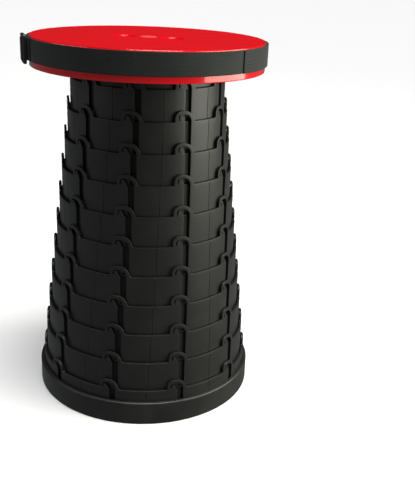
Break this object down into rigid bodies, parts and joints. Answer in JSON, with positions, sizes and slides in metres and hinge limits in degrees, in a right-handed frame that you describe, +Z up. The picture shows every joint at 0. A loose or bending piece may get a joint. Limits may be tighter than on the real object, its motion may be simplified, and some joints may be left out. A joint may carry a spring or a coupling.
{
  "type": "telescopic camp stool",
  "caption": "Round folding camp stool: nested slotted plastic rings that pull up from a flat disc, with a glossy seat cap and a webbing strap round its rim.",
  "frame": {"origin": "centre of the footprint, on the ground", "axes": "+Z up along the rings' common axis, -Y towards the front, +X to the right"},
  "size_m": [0.2559, 0.2539, 0.4019],
  "materials": {
    "cap_plastic": "glossy moulded plastic",
    "ring_plastic": "satin moulded nylon, fine grain",
    "skirt_plastic": "satin moulded nylon",
    "pad_rubber": "soft rubber",
    "webbing": "woven strap webbing",
    "slider_plastic": "satin moulded plastic",
    "screw_steel": "zinc plated"
  },
  "bodies": {
    "base": {"base_skirt": "skirt_plastic", "foot_pads": "pad_rubber", "ring_12": "ring_plastic"},
    "ring_11_body": {"ring_11": "ring_plastic"},
    "ring_10_body": {"ring_10": "ring_plastic"},
    "ring_09_body": {"ring_09": "ring_plastic"},
    "ring_08_body": {"ring_08": "ring_plastic"},
    "ring_07_body": {"ring_07": "ring_plastic"},
    "ring_06_body": {"ring_06": "ring_plastic"},
    "ring_05_body": {"ring_05": "ring_plastic"},
    "ring_04_body": {"ring_04": "ring_plastic"},
    "ring_03_body": {"ring_03": "ring_plastic"},
    "ring_02_body": {"ring_02": "ring_plastic"},
    "seat": {"ring_01": "ring_plastic", "seat_cap": "cap_plastic", "centre_disc": "cap_plastic", "seat_screws": "screw_steel", "strap_band": "webbing", "strap_tail": "webbing", "strap_slider": "slider_plastic"}
  },
  "joints": [
    {"name": "ring_11_slide", "type": "slide", "parent": "base", "child": "ring_11_body", "axis": [0, 0, 1], "range_m": [-0.0319, 0]},
    {"name": "ring_10_slide", "type": "slide", "parent": "ring_11_body", "child": "ring_10_body", "axis": [0, 0, 1], "range_m": [-0.0319, 0]},
    {"name": "ring_09_slide", "type": "slide", "parent": "ring_10_body", "child": "ring_09_body", "axis": [0, 0, 1], "range_m": [-0.0319, 0]},
    {"name": "ring_08_slide", "type": "slide", "parent": "ring_09_body", "child": "ring_08_body", "axis": [0, 0, 1], "range_m": [-0.0319, 0]},
    {"name": "ring_07_slide", "type": "slide", "parent": "ring_08_body", "child": "ring_07_body", "axis": [0, 0, 1], "range_m": [-0.0319, 0]},
    {"name": "ring_06_slide", "type": "slide", "parent": "ring_07_body", "child": "ring_06_body", "axis": [0, 0, 1], "range_m": [-0.0319, 0]},
    {"name": "ring_05_slide", "type": "slide", "parent": "ring_06_body", "child": "ring_05_body", "axis": [0, 0, 1], "range_m": [-0.0319, 0]},
    {"name": "ring_04_slide", "type": "slide", "parent": "ring_05_body", "child": "ring_04_body", "axis": [0, 0, 1], "range_m": [-0.0319, 0]},
    {"name": "ring_03_slide", "type": "slide", "parent": "ring_04_body", "child": "ring_03_body", "axis": [0, 0, 1], "range_m": [-0.0319, 0]},
    {"name": "ring_02_slide", "type": "slide", "parent": "ring_03_body", "child": "ring_02_body", "axis": [0, 0, 1], "range_m": [-0.0319, 0]},
    {"name": "seat_slide", "type": "slide", "parent": "ring_02_body", "child": "seat", "axis": [0, 0, 1], "range_m": [-0.024, 0]}
  ]
}
